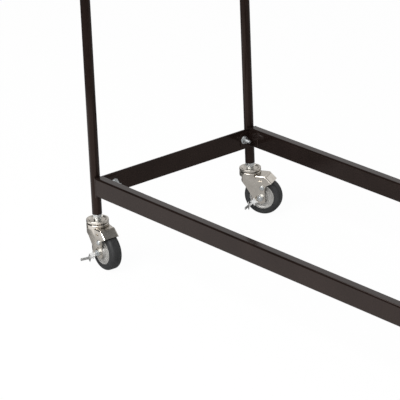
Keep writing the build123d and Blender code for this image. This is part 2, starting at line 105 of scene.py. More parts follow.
# each edge is where a tone starts and ends: on the floor, whose tones are painted light and
# shade, along y, along x, or outwards from the middle of its painted pool of light, and in the
# room by how nearly a direction points that way
FLOOR_FRONT_EDGE = (-0.46, -0.3)
FLOOR_LEFT_EDGE = (-0.92, -0.82)
FLOOR_PAINTED_POOL_CENTRE = (-0.75, -0.25, 0)
FLOOR_PAINTED_POOL_EDGE = (1.15, 1.45)
FLOOR_PAINTED_LIGHT = 1.0
FLOOR_PAINTED_SHADE_UNDER = 0.42
FLOOR_PAINTED_SHADE_LEFT = 0.12
FLOOR_PAINTED_SHADE_FAR = 0.08
BACKDROP_WAY = (-0.3, 0.9, -0.32)
BACKDROP_EDGE = (-0.05, 0.65)
BACKDROP_TONE = 0.82
SCREEN_WAY = (0.7, -0.66, 0.27)
SCREEN_EDGE = (0.4, 0.75)
SCREEN_TONE = 0.95
ROOM_TONE = 0.03
PANELS = {
    "key_panel": {"azimuth": 0, "elevation": 44, "distance": 4.0, "size": (3.6, 2.4), "power": 150},
    "left_panel": {"azimuth": -90, "elevation": 66, "distance": 4.5, "size": (2.4, 2.4), "power": 45},
}


def add_node(tree, kind, inputs=None, **settings):
    """One more node in a tree, with its settings and the values on its own sockets."""
    made = tree.nodes.new(kind)
    for name, value in settings.items():
        setattr(made, name, value)
    for name, value in (inputs or {}).items():
        made.inputs[name].default_value = value
    return made


def ramp(tree, ends, tones=(0, 1), smooth=False):
    """Node that turns a value between two ends into a tone between two others."""
    inputs = {"From Min": ends[0], "From Max": ends[1], "To Min": tones[0], "To Max": tones[1]}
    shape = "SMOOTHSTEP" if smooth else "LINEAR"
    return add_node(tree, "ShaderNodeMapRange", inputs, interpolation_type=shape)


def link(tree, *joins):
    """Joins sockets: each join is a node and its output, then a node and its input."""
    for source, output, target, socket in joins:
        tree.links.new(source.outputs[output], target.inputs[socket])


floor_bm = bmesh.new()
bmesh.ops.create_grid(floor_bm, x_segments=1, y_segments=1, size=FLOOR_HALF)
floor_mesh = bpy.data.meshes.new("floor")
floor_bm.to_mesh(floor_mesh)
floor_bm.free()
floor = bpy.data.objects.new("floor", floor_mesh)
bpy.context.scene.collection.objects.link(floor)
floor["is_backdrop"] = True

# The camera sees the floor as an even white. Every other ray sees painted light on it: a painted pool of
# light in front of the rack, and painted shade under the rack, to its left and far off.
paper = bpy.data.materials.new("white_paper")
paper.use_nodes = True
tree = paper.node_tree
tree.nodes.clear()
path = add_node(tree, "ShaderNodeLightPath")
mirrored = add_node(tree, "ShaderNodeMath", operation="ADD", use_clamp=True)
seen = add_node(tree, "ShaderNodeMath", operation="ADD", use_clamp=True)
share = add_node(tree, "ShaderNodeMath", {1: FLOOR_GLOW}, operation="MULTIPLY")
place = add_node(tree, "ShaderNodeTexCoord")
spot = add_node(tree, "ShaderNodeSeparateXYZ")
behind_front = ramp(tree, FLOOR_FRONT_EDGE, smooth=True)
painted_shade_tone = ramp(tree, FLOOR_LEFT_EDGE, (FLOOR_PAINTED_SHADE_LEFT, FLOOR_PAINTED_SHADE_UNDER), smooth=True)
off_middle = add_node(tree, "ShaderNodeVectorMath", {1: FLOOR_PAINTED_POOL_CENTRE}, operation="DISTANCE")
painted_light_tone = ramp(tree, FLOOR_PAINTED_POOL_EDGE, (FLOOR_PAINTED_LIGHT, FLOOR_PAINTED_SHADE_FAR), smooth=True)
tone = add_node(tree, "ShaderNodeMix", data_type="FLOAT")
strength = add_node(tree, "ShaderNodeMix", {"B": 1.0}, data_type="FLOAT")
diffuse = add_node(tree, "ShaderNodeBsdfDiffuse", {"Color": FLOOR_WHITE})
glow = add_node(tree, "ShaderNodeEmission", {"Color": (1, 1, 1, 1)})
mix = add_node(tree, "ShaderNodeMixShader")
output = add_node(tree, "ShaderNodeOutputMaterial")
link(
    tree,
    (path, "Is Glossy Ray", mirrored, 0),
    (path, "Is Transmission Ray", mirrored, 1),
    (path, "Is Camera Ray", seen, 0),
    (mirrored, 0, seen, 1),
    (seen, 0, share, 0),
    (place, "Object", spot, 0),
    (spot, "Y", behind_front, "Value"),
    (spot, "X", painted_shade_tone, "Value"),
    (place, "Object", off_middle, 0),
    (off_middle, "Value", painted_light_tone, "Value"),
    (behind_front, 0, tone, "Factor"),
    (painted_light_tone, 0, tone, "A"),
    (painted_shade_tone, 0, tone, "B"),
    (path, "Is Camera Ray", strength, "Factor"),
    (tone, "Result", strength, "A"),
    (strength, "Result", glow, "Strength"),
    (share, 0, mix, 0),
    (diffuse, 0, mix, 1),
    (glow, 0, mix, 2),
    (mix, 0, output, "Surface"),
)
floor_mesh.materials.append(paper)

world = bpy.data.worlds.new("studio")
world.use_nodes = True
bpy.context.scene.world = world
tree = world.node_tree
tree.nodes.clear()
path = add_node(tree, "ShaderNodeLightPath")
direction = add_node(tree, "ShaderNodeTexCoord")
towards = add_node(tree, "ShaderNodeVectorMath", {1: BACKDROP_WAY}, operation="DOT_PRODUCT")
tone = ramp(tree, BACKDROP_EDGE, (ROOM_TONE, BACKDROP_TONE))
facing = add_node(tree, "ShaderNodeVectorMath", {1: SCREEN_WAY}, operation="DOT_PRODUCT")
screen = ramp(tree, SCREEN_EDGE, (0, SCREEN_TONE), smooth=True)
both = add_node(tree, "ShaderNodeMath", operation="ADD")
strength = add_node(tree, "ShaderNodeMix", {"B": 1.0}, data_type="FLOAT")
sky = add_node(tree, "ShaderNodeBackground", {"Color": (1, 1, 1, 1)})
output = add_node(tree, "ShaderNodeOutputWorld")
link(
    tree,
    (direction, "Generated", towards, 0),
    (towards, "Value", tone, "Value"),
    (direction, "Generated", facing, 0),
    (facing, "Value", screen, "Value"),
    (tone, 0, both, 0),
    (screen, 0, both, 1),
    (path, "Is Camera Ray", strength, "Factor"),
    (both, 0, strength, "A"),
    (strength, "Result", sky, "Strength"),
    (sky, 0, output, "Surface"),
)

for name, panel in PANELS.items():
    away = bearing(radians(panel["azimuth"]), radians(panel["elevation"]))
    lamp_data = bpy.data.lights.new(name, "AREA")
    lamp_data.shape = "RECTANGLE"
    lamp_data.size, lamp_data.size_y = panel["size"]
    lamp_data.energy = panel["power"]
    lamp = bpy.data.objects.new(name, lamp_data)
    lamp.matrix_world = (
        Matrix.Translation(away * panel["distance"]) @ away.to_track_quat("Z", "Y").to_matrix().to_4x4()
    )
    bpy.context.scene.collection.objects.link(lamp)

# ---------------------------------------------------------------- end bows
# Each end is one 1 in steel tube, bent twice on a mandrel and powder coated dark brown. The
# coat is thick and glossy, with a faint orange peel, cloudy duller patches and fine scratches.
PAINT_DARK = (0.008, 0.005, 0.0042, 1)
PAINT_LIGHT = (0.0125, 0.008, 0.0068, 1)
PAINT_SHINE = (0.86, 0.64, 0.56, 1)
PAINT_PEEL_SCALE = 420.0
PAINT_CLOUD_SCALE = 9.0
PAINT_SCRATCH_SCALE = 90.0
CLOUD_ENDS = (0.3, 0.7)
SCRATCH_ENDS = (0.66, 0.74)
SCRATCH_TILT = (0.5, 0.3, 0.8)
SCRATCH_STRETCH = (1, 9, 1)
MARK_SCALES = ("Cloud Scale", "Grain Scale", "Scratch Scale")


def surface_marks():
    """Group with the marks that every finish shows: slow clouds of tone, a fine grain to
    bump, and sparse short scratches."""
    group = bpy.data.node_groups.new("surface_marks", "ShaderNodeTree")
    for name in MARK_SCALES:
        group.interface.new_socket(name, in_out="INPUT", socket_type="NodeSocketFloat")
    for name in ("Clouds", "Grain", "Scratches"):
        group.interface.new_socket(name, in_out="OUTPUT", socket_type="NodeSocketFloat")
    given = add_node(group, "NodeGroupInput")
    made = add_node(group, "NodeGroupOutput")
    place = add_node(group, "ShaderNodeTexCoord")
    clouds = add_node(group, "ShaderNodeTexNoise", {"Detail": 4.0, "Roughness": 0.55})
    grain = add_node(group, "ShaderNodeTexNoise", {"Detail": 2.0, "Roughness": 0.5})
    tilt = add_node(group, "ShaderNodeMapping", {"Rotation": SCRATCH_TILT, "Scale": SCRATCH_STRETCH})
    lines = add_node(group, "ShaderNodeTexNoise", {"Detail": 1.0, "Distortion": 0.4})
    sparse = ramp(group, SCRATCH_ENDS, smooth=True)
    link(
        group,
        (place, "Object", clouds, "Vector"),
        (place, "Object", grain, "Vector"),
        (place, "Object", tilt, "Vector"),
        (tilt, "Vector", lines, "Vector"),
        (given, "Cloud Scale", clouds, "Scale"),
        (given, "Grain Scale", grain, "Scale"),
        (given, "Scratch Scale", lines, "Scale"),
        (lines, 0, sparse, "Value"),
        (clouds, 0, made, "Clouds"),
        (grain, 0, made, "Grain"),
        (sparse, 0, made, "Scratches"),
    )
    return group


MARKS = surface_marks()


def finish_material(name, dark, light, scales, roughness, bump, scratched, shader):
    """Material whose tone and roughness drift with the clouds between two ends, whose grain
    is bumped, and whose scratches are duller. Its own constants sit on the shader."""
    material = bpy.data.materials.new(name)
    material.use_nodes = True
    tree = material.node_tree
    tree.nodes.clear()
    marks = add_node(tree, "ShaderNodeGroup", dict(zip(MARK_SCALES, scales)), node_tree=MARKS)
    tone = ramp(tree, CLOUD_ENDS)
    colour = add_node(tree, "ShaderNodeMix", {"A": dark, "B": light}, data_type="RGBA")
    rough = ramp(tree, CLOUD_ENDS, roughness)
    duller = add_node(tree, "ShaderNodeMath", {1: scratched}, operation="MULTIPLY")
    total = add_node(tree, "ShaderNodeMath", operation="ADD", use_clamp=True)
    relief = add_node(tree, "ShaderNodeBump", {"Strength": 1.0, "Distance": bump})
    surface = add_node(tree, "ShaderNodeBsdfPrincipled", shader)
    output = add_node(tree, "ShaderNodeOutputMaterial")
    link(
        tree,
        (marks, "Clouds", tone, "Value"),
        (tone, 0, colour, "Factor"),
        (colour, "Result", surface, "Base Color"),
        (marks, "Clouds", rough, "Value"),
        (marks, "Scratches", duller, 0),
        (rough, 0, total, 0),
        (duller, 0, total, 1),
        (total, 0, surface, "Roughness"),
        (marks, "Grain", relief, "Height"),
        (relief, 0, surface, "Normal"),
        (surface, 0, output, "Surface"),
    )
    return material


frame_paint = finish_material(
    "dark_brown_powder_coat",
    PAINT_DARK,
    PAINT_LIGHT,
    scales=(PAINT_CLOUD_SCALE, PAINT_PEEL_SCALE, PAINT_SCRATCH_SCALE),
    roughness=(0.09, 0.15),
    bump=0.00002,
    scratched=0.12,
    shader={"IOR": 1.36, "Specular Tint": PAINT_SHINE},
)


def dress(node, material):
    """Gives a CAD node's own mesh a finish."""
    nodes[node].data.materials.clear()
    nodes[node].data.materials.append(material)


ENDS = {"left": -1, "right": 1}
for end in ENDS:
    dress(f"{end}_end_bow", frame_paint)

# ---------------------------------------------------------------- end bars
# A flat steel bar lies across the inner sides of the two uprights of each bow. Its rolled
# edges are slightly round, and a weld bead runs down both sides of each upright.
BAR_EDGE = 0.0009
BEAD_RADIUS = 0.0022
BEAD_STEP = 0.0026
BEAD_SIDE = 0.0072
BEAD_SINK = 0.0008
SHARP_ANGLE = radians(30)
SHADED_ANGLE = radians(38)


def soften(bm, width, segments=2, sharpest=SHARP_ANGLE, chosen=None):
    """Rounds the edges that are sharper than an angle, all of them or only the chosen ones."""
    sharp = [
        edge
        for edge in bm.edges
        if len(edge.link_faces) == 2
        and edge.calc_face_angle() > sharpest
        and (chosen is None or chosen(edge))
    ]
    bmesh.ops.bevel(
        bm,
        geom=sharp,
        offset=width,
        offset_type="OFFSET",
        segments=segments,
        profile=0.5,
        affect="EDGES",
        clamp_overlap=True,
        material=-1,
    )


def gather(parts):
    """One bmesh from several, each moved to its own place."""
    whole = bmesh.new()
    for part, place in parts:
        part.transform(place)
        mesh = bpy.data.meshes.new("part")
        part.to_mesh(mesh)
        part.free()
        whole.from_mesh(mesh)
        bpy.data.meshes.remove(mesh)
    return whole


def make_piece(name, bm, body, material, slot, *stands_for):
    """Object from a finished bmesh, smooth but for its sharp edges, that rides on its body in
    place of the nodes that it stands for, if any."""
    mesh = bpy.data.meshes.new(name)
    bm.to_mesh(mesh)
    bm.free()
    mesh.shade_smooth()
    mesh.set_sharp_from_angle(angle=SHADED_ANGLE)
    mesh.materials.append(material)
    piece = bpy.data.objects.new(name, mesh)
    bpy.context.scene.collection.objects.link(piece)
    normals = piece.modifiers.new("even_shading", "WEIGHTED_NORMAL")
    normals.keep_sharp = True
    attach(piece, body)
    if stands_for:
        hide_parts(*stands_for)


def block(low, high):
    """Closed box between two corners."""
    bm = bmesh.new()
    middle = (low + high) / 2
    size = high - low
    bmesh.ops.create_cube(bm, size=1, matrix=Matrix.Translation(middle) @ Matrix.Diagonal(size).to_4x4())
    return bm


def weld_bead(start, end, radius):
    """Chain of overlapping round drops from one point to another."""
    bm = bmesh.new()
    run = end - start
    steps = ceil(run.length / BEAD_STEP)
    for step in range(steps + 1):
        place = Matrix.Translation(start + run * step / steps)
        bmesh.ops.create_icosphere(bm, subdivisions=2, radius=radius, matrix=place)
    return bm


for end, sign in ENDS.items():
    low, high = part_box(f"{end}_end_bar")
    bar = block(low, high)
    soften(bar, BAR_EDGE, segments=3)
    make_piece(f"{end}_flat_bar", bar, "frame", frame_paint, "frame_paint", f"{end}_end_bar")

    outer_face = high.x if sign > 0 else low.x
    bow_low, bow_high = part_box(f"{end}_end_bow")
    upright_radius = (bow_high.x - bow_low.x) / 2
    beads = []
    for y in (low.y + upright_radius, high.y - upright_radius):
        for side in (-BEAD_SIDE, BEAD_SIDE):
            x = outer_face + sign * BEAD_SINK
            top = Vector((x, y + side, high.z - BEAD_RADIUS))
            bottom = Vector((x, y + side, low.z + BEAD_RADIUS))
            beads.append((weld_bead(bottom, top, BEAD_RADIUS), Matrix.Identity(4)))
    make_piece(f"{end}_upright_welds", gather(beads), "frame", frame_paint, "frame_paint")

# ---------------------------------------------------------------- long rails
# Two closed 1 x 2 in tubes stand on edge between the end bars, coated like the bows. Their
# sawn ends are filed, so that a thin dark line shows where they meet the bars.
RAIL_END_EDGE = 0.0007
SAME_POINT = 1e-6
SAME_LEVEL = 1e-5
FLAT_ANGLE = radians(0.5)


def loose_copy(node):
    """CAD node's mesh with its points joined and its flat faces made whole."""
    bm = bmesh.new()
    bm.from_mesh(nodes[node].data)
    bmesh.ops.remove_doubles(bm, verts=bm.verts, dist=SAME_POINT)
    bmesh.ops.dissolve_limit(bm, angle_limit=FLAT_ANGLE, verts=bm.verts, edges=bm.edges)
    return bm


for side in ("front", "back"):
    rail = loose_copy(f"{side}_rail")
    soften(rail, RAIL_END_EDGE)
    make_piece(f"{side}_box_rail", rail, "frame", frame_paint, "frame_paint", f"{side}_rail")

# ---------------------------------------------------------------- corner brackets
# Angle irons join the rails to the end bars. One leg is welded along the rail, with a bead
# down its end, and the other is bolted to the bar.
BRACKET_EDGE = 0.0007
BRACKET_BEAD = 0.0018


def limits(points):
    """Lowest and highest corner of the box round some points."""
    low = Vector([min(point[axis] for point in points) for axis in range(3)])
    high = Vector([max(point[axis] for point in points) for axis in range(3)])
    return low, high


def corner_box(node, end_sign, side_sign=0):
    """Lowest and highest corner of what a node has at one corner, or one end, of the rack."""
    points = [vertex.co for vertex in nodes[node].data.vertices]
    return limits([
        point for point in points if point.x * end_sign > 0 and point.y * side_sign >= 0
    ])


CORNERS = {
    "front_left": (-1, -1),
    "back_left": (-1, 1),
    "front_right": (1, -1),
    "back_right": (1, 1),
}
brackets = loose_copy("corner_brackets")
soften(brackets, BRACKET_EDGE)
make_piece("angle_brackets", brackets, "frame", frame_paint, "frame_paint", "corner_brackets")

beads = []
for end_sign, side_sign in CORNERS.values():
    low, high = corner_box("corner_brackets", end_sign, side_sign)
    x = low.x if end_sign > 0 else high.x
    y = high.y if side_sign > 0 else low.y
    bottom = Vector((x, y, low.z + BRACKET_BEAD))
    top = Vector((x, y, high.z - BRACKET_BEAD))
    beads.append((weld_bead(bottom, top, BRACKET_BEAD), Matrix.Identity(4)))
make_piece("bracket_welds", gather(beads), "frame", frame_paint, "frame_paint")

# ---------------------------------------------------------------- corner bolts
# Hex bolts, washers and nuts, stamped and rolled from steel and zinc plated, satin with a
# faint blue-green cast. The thread stands well proud of each nut.
ZINC_DARK = (0.54, 0.56, 0.565, 1)
ZINC_LIGHT = (0.72, 0.74, 0.745, 1)
M8_RADIUS = 0.004
M8_PITCH = 0.00125
THREAD_STEPS = 24
# turns made below a rod's lower end, which are cut off again
THREAD_SPARE = 2
# shares of the pitch: a thread's depth, and the gap at which points of two turns are joined
THREAD_DEPTH = 0.6
THREAD_MERGE = 0.02
CHAMFER_CUTS = 24
CHAMFER_ANGLE = radians(30)
HEX_EDGE = 0.00025
HEX_SHARP_ANGLE = radians(20)
WASHER_EDGE = 0.0004
TURNED_STEPS = 64

zinc = finish_material(
    "bright_zinc",
    ZINC_DARK,
    ZINC_LIGHT,
    scales=(160.0, 900.0, 300.0),
    roughness=(0.34, 0.46),
    bump=0.000006,
    scratched=0.2,
    shader={"Metallic": 1.0},
)


def close_holes(bm):
    """Fills every open edge loop of a cut shape."""
    rims = [edge for edge in bm.edges if edge.is_boundary]
    bmesh.ops.holes_fill(bm, edges=rims, sides=0)


def cut_off(bm, point, outwards):
    """Cuts away all that lies past a plane, and closes the cut."""
    everything = bm.verts[:] + bm.edges[:] + bm.faces[:]
    bmesh.ops.bisect_plane(bm, geom=everything, plane_co=point, plane_no=outwards, clear_outer=True)
    close_holes(bm)


def hex_block(width, low, high, chamfered):
    """Hexagonal block along z, with round chamfers at the ends that are listed."""
    bm = bmesh.new()
    across_corners = width / cos(pi / 6)
    bmesh.ops.create_cone(
        bm,
        cap_ends=True,
        segments=6,
        radius1=across_corners / 2,
        radius2=across_corners / 2,
        depth=high - low,
        matrix=Matrix.Translation((0, 0, (low + high) / 2)),
    )
    for height in chamfered:
        up = 1 if height == high else -1
        for cut in range(CHAMFER_CUTS):
            angle = 2 * pi * cut / CHAMFER_CUTS
            outwards = Vector((cos(angle), sin(angle), 0))
            point = outwards * (width / 2) + Vector((0, 0, height))
            lean = outwards * sin(CHAMFER_ANGLE) + Vector((0, 0, up * cos(CHAMFER_ANGLE)))
            cut_off(bm, point, lean)
    soften(bm, HEX_EDGE, sharpest=HEX_SHARP_ANGLE)
    return bm


def threaded_rod(radius, pitch, low, high):
    """Rod along z with a helical thread, cut square and closed at both ends."""
    bm = bmesh.new()
    groove = radius - THREAD_DEPTH * pitch
    points = []
    for turn_number in range(-THREAD_SPARE, ceil((high - low) / pitch) + 1):
        z = low + turn_number * pitch
        points.append(bm.verts.new((radius, 0, z)))
        points.append(bm.verts.new((groove, 0, z + pitch / 2)))
    edges = [bm.edges.new(pair) for pair in zip(points, points[1:])]
    bmesh.ops.spin(
        bm,
        geom=points + edges,
        cent=(0, 0, 0),
        axis=(0, 0, 1),
        dvec=(0, 0, pitch / THREAD_STEPS),
        angle=2 * pi,
        steps=THREAD_STEPS,
        use_merge=False,
    )
    bmesh.ops.remove_doubles(bm, verts=bm.verts, dist=THREAD_MERGE * pitch)
    cut_off(bm, (0, 0, low), (0, 0, -1))
    cut_off(bm, (0, 0, high), (0, 0, 1))
    bmesh.ops.recalc_face_normals(bm, faces=bm.faces)
    return bm


def turned(outline, closed=True, steps=TURNED_STEPS):
    """Shape turned about z from its outline of (radius, height) points."""
    bm = bmesh.new()
    points = [bm.verts.new((radius, 0, height)) for radius, height in outline]
    pairs = list(zip(points, points[1:]))
    if closed:
        pairs.append((points[-1], points[0]))
    edges = [bm.edges.new(pair) for pair in pairs]
    bmesh.ops.spin(
        bm,
        geom=points + edges,
        cent=(0, 0, 0),
        axis=(0, 0, 1),
        angle=2 * pi,
        steps=steps,
        use_merge=True,
    )
    bmesh.ops.remove_doubles(bm, verts=bm.verts, dist=SAME_POINT)
    bmesh.ops.recalc_face_normals(bm, faces=bm.faces)
    return bm


def ring(inner, outer, low, high):
    """Flat ring about z."""
    return turned([(inner, low), (outer, low), (outer, high), (inner, high)])


def pointing(place, z_direction):
    """Matrix that sets local z along a level direction at a place, and local y upright. A hex
    block has two of its corners on local y."""
    z = Vector(z_direction).normalized()
    x = Vector((0, 0, 1)).cross(z).normalized()
    y = z.cross(x)
    turn = Matrix((x, y, z)).transposed().to_4x4()
    return Matrix.Translation(place) @ turn


def hex_bolt(width, head, thread_start, tip):
    """Head, plain shank and thread of an M8 bolt whose head seats at height 0."""
    shank = [(0, 0), (M8_RADIUS, 0), (M8_RADIUS, thread_start), (0, thread_start)]
    return [
        hex_block(width, -head, 0, [-head]),
        turned(shank, closed=False),
        threaded_rod(M8_RADIUS, M8_PITCH, thread_start, tip),
    ]


bolts, washers, nuts = [], [], []
for end_sign, side_sign in CORNERS.values():
    bolt_low, bolt_high = corner_box("corner_bolts", end_sign, side_sign)
    washer_low, washer_high = corner_box("corner_washers", end_sign, side_sign)
    nut_low, nut_high = corner_box("corner_nuts", end_sign, side_sign)
    end = "left" if end_sign < 0 else "right"
    bar_low, bar_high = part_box(f"{end}_end_bar")
    seat = bar_high.x if end_sign > 0 else bar_low.x
    middle = (bolt_low + bolt_high) / 2
    place = pointing((seat, middle.y, middle.z), (-end_sign, 0, 0))
    depths = [abs(x - seat) for x in (bolt_low.x, bolt_high.x)]
    washer_depths = sorted(abs(x - seat) for x in (washer_low.x, washer_high.x))
    nut_depths = sorted(abs(x - seat) for x in (nut_low.x, nut_high.x))
    head_width = bolt_high.y - bolt_low.y
    parts = hex_bolt(head_width, min(depths), washer_depths[0], max(depths))
    bolts += [(part, place) for part in parts]
    washer = ring(M8_RADIUS, (washer_high.z - washer_low.z) / 2, *washer_depths)
    soften(washer, WASHER_EDGE)
    washers.append((washer, place))
    nuts.append((hex_block(head_width, *nut_depths, nut_depths), place))
make_piece("corner_hex_bolts", gather(bolts), "frame", zinc, "zinc_plate", "corner_bolts")
make_piece("corner_round_washers", gather(washers), "frame", zinc, "zinc_plate", "corner_washers")
make_piece("corner_hex_nuts", gather(nuts), "frame", zinc, "zinc_plate", "corner_nuts")

# ---------------------------------------------------------------- hang rail
# The rail is the same painted 1 in tube, coped at both ends to lie against the bows. A plated
# plug is pressed into each end, and a bolt through the bow screws into it.
dress("hang_rail", frame_paint)
dress("hang_rail_plugs", zinc)
bolts = []
for end, sign in ENDS.items():
    bow_low, bow_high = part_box(f"{end}_end_bow")
    seat = bow_high.x if sign > 0 else bow_low.x
    bolt_low, bolt_high = corner_box("hang_rail_bolts", sign)
    middle = (bolt_low + bolt_high) / 2
    depths = [abs(x - seat) for x in (bolt_low.x, bolt_high.x)]
    place = pointing((seat, middle.y, middle.z), (-sign, 0, 0))
    thread_start = bow_high.x - bow_low.x
    head_width = bolt_high.y - bolt_low.y
    parts = hex_bolt(head_width, min(depths), thread_start, max(depths))
    bolts += [(part, place) for part in parts]
make_piece("hang_rail_hex_bolts", gather(bolts), "frame", zinc, "zinc_plate", "hang_rail_bolts")

# ---------------------------------------------------------------- caster stems
# Steel sleeves are pressed into the feet of the tubes and tapped M12. Each caster's stem screws
# up into one, and a hex nut locks it against the foot.
STEM_RADIUS = 0.006
STEM_PITCH = 0.00175
SHOULDER_RADIUS = 0.0095
SHOULDER_EDGE = 0.0008
KINGPIN_HEIGHT = 0.007
KINGPIN_DOME = 0.003
SHOULDER_RISE = 0.0068
CASTER_REACH = 0.1

joints = {joint["name"]: joint for joint in frame["joints"]}
caster_places = {}
for corner in CORNERS:
    across = Vector(joints[f"{corner}_wheel_spin"]["axis"]).normalized()
    up = Vector((0, 0, 1))
    turn = Matrix((across.cross(up), across, up)).transposed().to_4x4()
    foot = Vector(joints[f"{corner}_swivel_turn"]["pos_m"])
    foot.z = 0
    # from a caster's own axes, x along its trail and y along its axle, to the rack's
    caster_places[corner] = Matrix.Translation(foot) @ turn


def own_box(node, place):
    """Lowest and highest corner of what a node has at one caster, in that caster's own axes."""
    to_own = place.inverted()
    points = [to_own @ vertex.co for vertex in nodes[node].data.vertices]
    return limits([point for point in points if point.xy.length < CASTER_REACH])


dress("stem_sleeves", zinc)
stems, nuts = [], []
for corner, place in caster_places.items():
    nut_low, nut_high = own_box("stem_lock_nuts", place)
    nut = hex_block(nut_high.x - nut_low.x, nut_low.z, nut_high.z, [nut_low.z, nut_high.z])
    nuts.append((nut, place))
    stem_low, stem_high = own_box("caster_stems", place)
    kingpin_top = stem_low.z + KINGPIN_HEIGHT
    shoulder_low = nut_low.z - SHOULDER_RISE
    stem = turned(
        [
            (0, stem_low.z),
            (stem_high.x - KINGPIN_DOME, stem_low.z),
            (stem_high.x, stem_low.z + KINGPIN_DOME),
            (stem_high.x, kingpin_top),
            (STEM_RADIUS, kingpin_top),
            (STEM_RADIUS, shoulder_low),
            (SHOULDER_RADIUS, shoulder_low),
            (SHOULDER_RADIUS, nut_low.z),
            (STEM_RADIUS, nut_low.z),
            (STEM_RADIUS, nut_high.z),
            (0, nut_high.z),
        ],
        closed=False,
    )
    soften(stem, SHOULDER_EDGE, segments=3)
    stems.append((stem, place))
    stems.append((threaded_rod(STEM_RADIUS, STEM_PITCH, nut_high.z, stem_high.z), place))
make_piece("stem_hex_nuts", gather(nuts), "frame", zinc, "caster_chrome", "stem_lock_nuts")
make_piece("threaded_stems", gather(stems), "frame", zinc, "caster_chrome", "caster_stems")

# ---------------------------------------------------------------- swivel caps
# Dished caps, each the still upper half of a ball race. They are pressed from steel sheet and
# nickel plated like the forks, bright to look at straight on and duller at a low angle.
PLATE_DARK = (0.68, 0.635, 0.575, 1)
PLATE_LIGHT = (0.84, 0.79, 0.72, 1)
PLATE_GRAZING = (0.3, 0.3, 0.3, 1)
CAP_DISH = 0.0028
CAP_RIM = 0.0045
CAP_EDGE = 0.0021
RACE_INSET = 0.0075
RACE_HALF = 0.0029
RACE_FLOOR = 0.0019
RACE_DEPTH = 0.0018

plated_steel = finish_material(
    "worn_nickel_plate",
    PLATE_DARK,
    PLATE_LIGHT,
    scales=(55.0, 1100.0, 260.0),
    roughness=(0.15, 0.25),
    bump=0.0000015,
    scratched=0.2,
    shader={"Metallic": 1.0, "Specular Tint": PLATE_GRAZING},
)
caps = []
for corner, place in caster_places.items():
    low, high = own_box("swivel_caps", place)
    radius = high.x
    race = radius - RACE_INSET
    cap = turned([
        (STEM_RADIUS, high.z - CAP_DISH),
        (radius - 2 * CAP_RIM, high.z - CAP_DISH),
        (radius - CAP_RIM, high.z),
        (radius, high.z),
        (radius, low.z),
        (race + RACE_HALF, low.z),
        (race + RACE_FLOOR, low.z + RACE_DEPTH),
        (race - RACE_FLOOR, low.z + RACE_DEPTH),
        (race - RACE_HALF, low.z),
        (STEM_RADIUS, low.z),
    ])
    soften(cap, CAP_EDGE, segments=4)
    caps.append((cap, place))
make_piece("dished_caps", gather(caps), "frame", plated_steel, "caster_chrome", "swivel_caps")

# ---------------------------------------------------------------- forks
# One blank of 2.8 mm steel is pressed into a round crown and two legs, then plated. Its cut
# edges are tumbled round. Hardened balls run between the crown and the cap.
FORK_EDGE = 0.0008
CROWN_EDGE = 0.0022
BALL_DARK = (0.5, 0.5, 0.5, 1)
BALL_LIGHT = (0.62, 0.62, 0.62, 1)

ball_steel = finish_material(
    "oiled_ball_steel",
    BALL_DARK,
    BALL_LIGHT,
    scales=(300.0, 1500.0, 700.0),
    roughness=(0.1, 0.2),
    bump=0.00001,
    scratched=0.05,
    shader={"Metallic": 1.0},
)
for corner, place in caster_places.items():
    fork = loose_copy(f"{corner}_fork")
    low, high = own_box(f"{corner}_fork", place)
    axis = place.translation.xy
    rim = high.y - FORK_EDGE
    soften(
        fork,
        CROWN_EDGE,
        segments=4,
        chosen=lambda edge: all(
            vertex.co.z > high.z - SAME_LEVEL and (vertex.co.xy - axis).length > rim
            for vertex in edge.verts
        ),
    )
    soften(fork, FORK_EDGE)
    make_piece(
        f"{corner}_pressed_fork",
        fork,
        f"{corner}_swivel",
        plated_steel,
        "caster_chrome",
        f"{corner}_fork",
    )
    dress(f"{corner}_swivel_balls", ball_steel)

# ---------------------------------------------------------------- axles
# An M8 bolt passes through both legs and a sleeve between them, and a hex nut holds it on the
# side of the brake's wing. All are zinc plated.
for corner, place in caster_places.items():
    bolt_low, bolt_high = own_box(f"{corner}_axle_bolt", place)
    nut_low, nut_high = own_box(f"{corner}_axle_nut", place)
    middle = (bolt_low + bolt_high) / 2
    leg_face = -nut_high.y
    head_height = bolt_high.y - leg_face
    head_width = bolt_high.x - bolt_low.x
    at_seat = place @ pointing((middle.x, leg_face, middle.z), (0, -1, 0))
    nut_depths = [leg_face - nut_high.y, leg_face - nut_low.y]
    parts = hex_bolt(head_width, head_height, nut_depths[0], leg_face - bolt_low.y)
    bolt = gather([(part, at_seat) for part in parts])
    nut = gather([(hex_block(head_width, *nut_depths, nut_depths), at_seat)])
    for name, shape in (("bolt", bolt), ("nut", nut)):
        make_piece(
            f"{corner}_axle_hex_{name}",
            shape,
            f"{corner}_swivel",
            zinc,
            "caster_chrome",
            f"{corner}_axle_{name}",
        )
    dress(f"{corner}_axle_sleeve", zinc)

# ---------------------------------------------------------------- tyres
# Soft grey rubber, moulded with a rounded tread, a faint flash line round its middle and a
# step in each side, where it meets the hub.
RUBBER_DARK = (0.012, 0.0123, 0.013, 1)
RUBBER_LIGHT = (0.022, 0.0224, 0.0232, 1)
TREAD_ROUND = 0.009
TREAD_SEGMENTS = 8
TYRE_LIP = 0.0022
TYRE_LIP_DROP = 0.0005
FLASH_HALF = 0.0004
FLASH_HEIGHT = 0.0002
WHEEL_STEPS = 96

